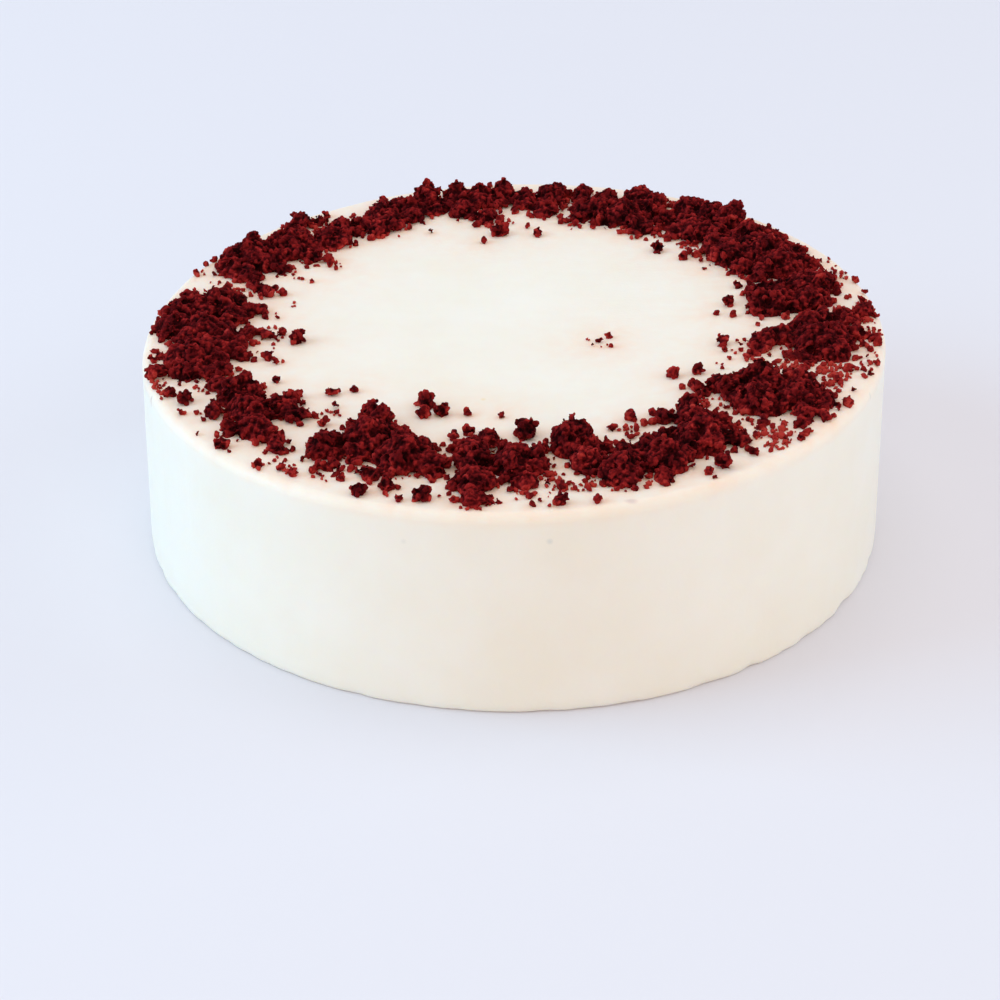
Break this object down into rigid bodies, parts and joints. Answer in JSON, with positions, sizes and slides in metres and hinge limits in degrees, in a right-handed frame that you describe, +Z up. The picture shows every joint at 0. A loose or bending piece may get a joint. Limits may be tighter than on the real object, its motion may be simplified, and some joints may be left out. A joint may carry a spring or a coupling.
{
  "type": "red velvet cake",
  "caption": "Whole round layer cake in smooth cream cheese frosting, with a wreath of dark red cake crumbs heaped round the edge of its top.",
  "frame": {"origin": "centre of the flat round base", "axes": "+Z up through the middle of the cake, +X to its right and +Y to its back as it is seen from the front"},
  "size_m": [0.208, 0.208, 0.0695],
  "materials": {
    "frosting": "smooth, satin",
    "crumbs": "rough, matt"
  },
  "bodies": {
    "root": {"frosted_cake": "frosting", "crumbs_left": "crumbs", "crumbs_left_front": "crumbs", "crumbs_front_left": "crumbs", "crumbs_front": "crumbs", "crumbs_front_right": "crumbs", "crumbs_right_front": "crumbs", "crumbs_right": "crumbs", "crumbs_right_middle": "crumbs", "crumbs_right_back": "crumbs", "crumbs_back_mound": "crumbs", "crumbs_back_right": "crumbs", "crumbs_back": "crumbs", "crumbs_back_left": "crumbs"}
  },
  "joints": []
}
